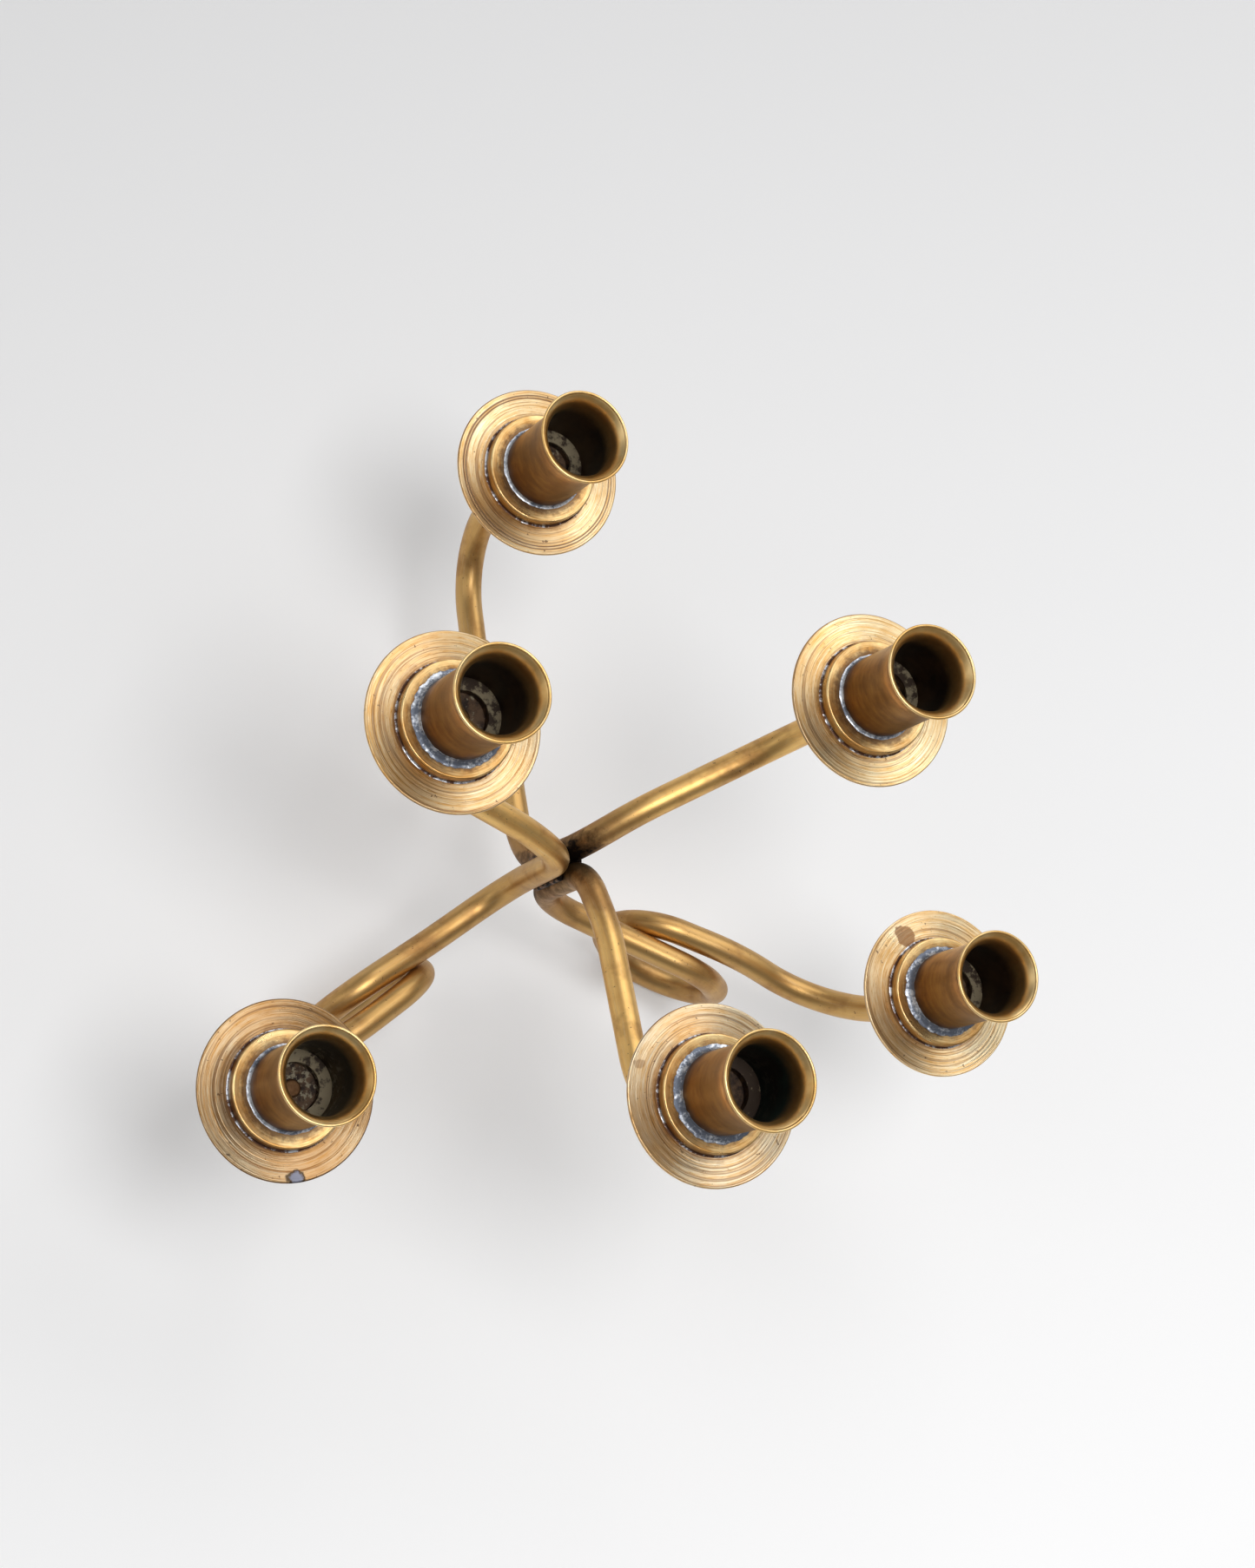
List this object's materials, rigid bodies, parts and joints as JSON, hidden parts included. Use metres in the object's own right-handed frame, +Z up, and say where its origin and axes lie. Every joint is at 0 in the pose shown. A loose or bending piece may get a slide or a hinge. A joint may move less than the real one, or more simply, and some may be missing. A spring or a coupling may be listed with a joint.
{
  "type": "tabletop candelabra",
  "caption": "Tabletop candelabra of bent round rods brazed together at the centre, each looped into a foot and ending in flared candle tubes on round drip dishes.",
  "frame": {"origin": "on the axis of the brazed rod bundle, at the level of the table that the foot loops stand on", "axes": "+Z up, along every candle tube; +X and +Y level. The low cup of arm 1 lies about 17 degrees from +X towards -Y, and arms 2 and 3 follow about 120 and 240 degrees anticlockwise seen from above"},
  "size_m": [0.2528, 0.2367, 0.1862],
  "materials": {
    "rod_brass": "satin drawn rod, aged",
    "dish_brass": "turned with fine rings, aged",
    "collar_brass": "turned, aged",
    "tube_brass": "satin with a worn bright lip, sooty inside",
    "soft_solder": "dull grey solder",
    "braze": "rough, scorched"
  },
  "bodies": {
    "root": {"bent_rod_1": "rod_brass", "bent_rod_2": "rod_brass", "bent_rod_3": "rod_brass", "drip_dish_high_1": "dish_brass", "drip_dish_high_2": "dish_brass", "drip_dish_high_3": "dish_brass", "drip_dish_low_1": "dish_brass", "drip_dish_low_2": "dish_brass", "drip_dish_low_3": "dish_brass", "collar_high_1": "collar_brass", "collar_high_2": "collar_brass", "collar_high_3": "collar_brass", "collar_low_1": "collar_brass", "collar_low_2": "collar_brass", "collar_low_3": "collar_brass", "candle_tube_high_1": "tube_brass", "candle_tube_high_2": "tube_brass", "candle_tube_high_3": "tube_brass", "candle_tube_low_1": "tube_brass", "candle_tube_low_2": "tube_brass", "candle_tube_low_3": "tube_brass", "tube_solder_high_1": "soft_solder", "tube_solder_high_2": "soft_solder", "tube_solder_high_3": "soft_solder", "tube_solder_low_1": "soft_solder", "tube_solder_low_2": "soft_solder", "tube_solder_low_3": "soft_solder", "dish_solder_high_1": "soft_solder", "dish_solder_high_2": "soft_solder", "dish_solder_high_3": "soft_solder", "dish_solder_low_1": "soft_solder", "dish_solder_low_2": "soft_solder", "dish_solder_low_3": "soft_solder", "rod_solder_high_1": "soft_solder", "rod_solder_high_2": "soft_solder", "rod_solder_high_3": "soft_solder", "rod_solder_low_1": "soft_solder", "rod_solder_low_2": "soft_solder", "rod_solder_low_3": "soft_solder", "bundle_braze_1": "braze", "bundle_braze_2": "braze", "bundle_braze_3": "braze"}
  },
  "joints": []
}
